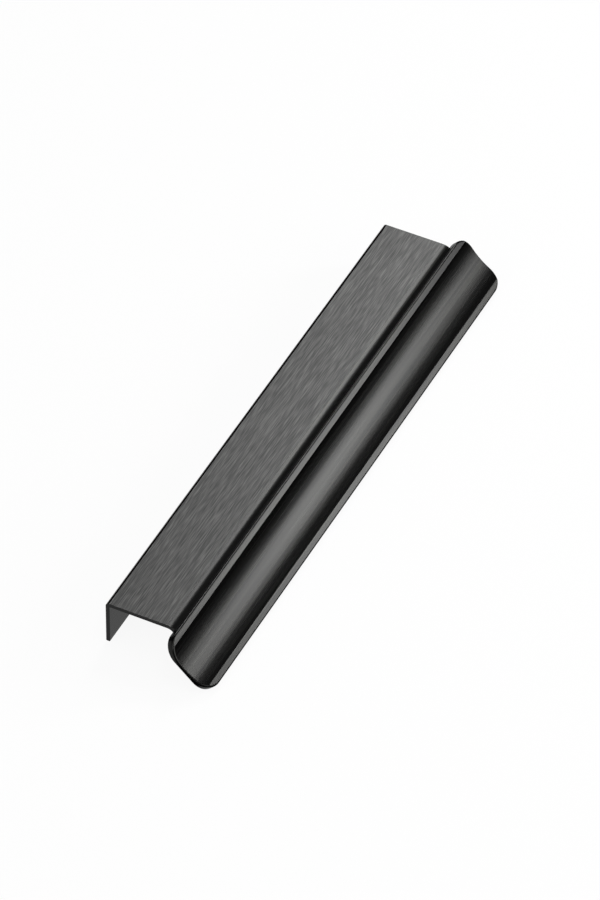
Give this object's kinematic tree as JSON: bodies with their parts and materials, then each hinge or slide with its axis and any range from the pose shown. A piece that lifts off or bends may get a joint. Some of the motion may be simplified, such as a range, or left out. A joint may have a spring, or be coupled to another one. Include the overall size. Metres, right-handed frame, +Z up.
{
  "type": "edge pull",
  "caption": "Brushed black edge pull: a back flange and level top plate go over the edge of a board, and a slanted lip with a hollowed face hangs in front for the fingers.",
  "frame": {"origin": "middle of the part's box, on the floor under it", "axes": "+X along the pull, -Y out of the front where the lip is, +Z up out of the top plate"},
  "size_m": [0.2, 0.038, 0.0156],
  "materials": {
    "edge_pull": "black anodised, brushed along its length"
  },
  "bodies": {
    "root": {"edge_pull": "edge_pull"}
  },
  "joints": []
}
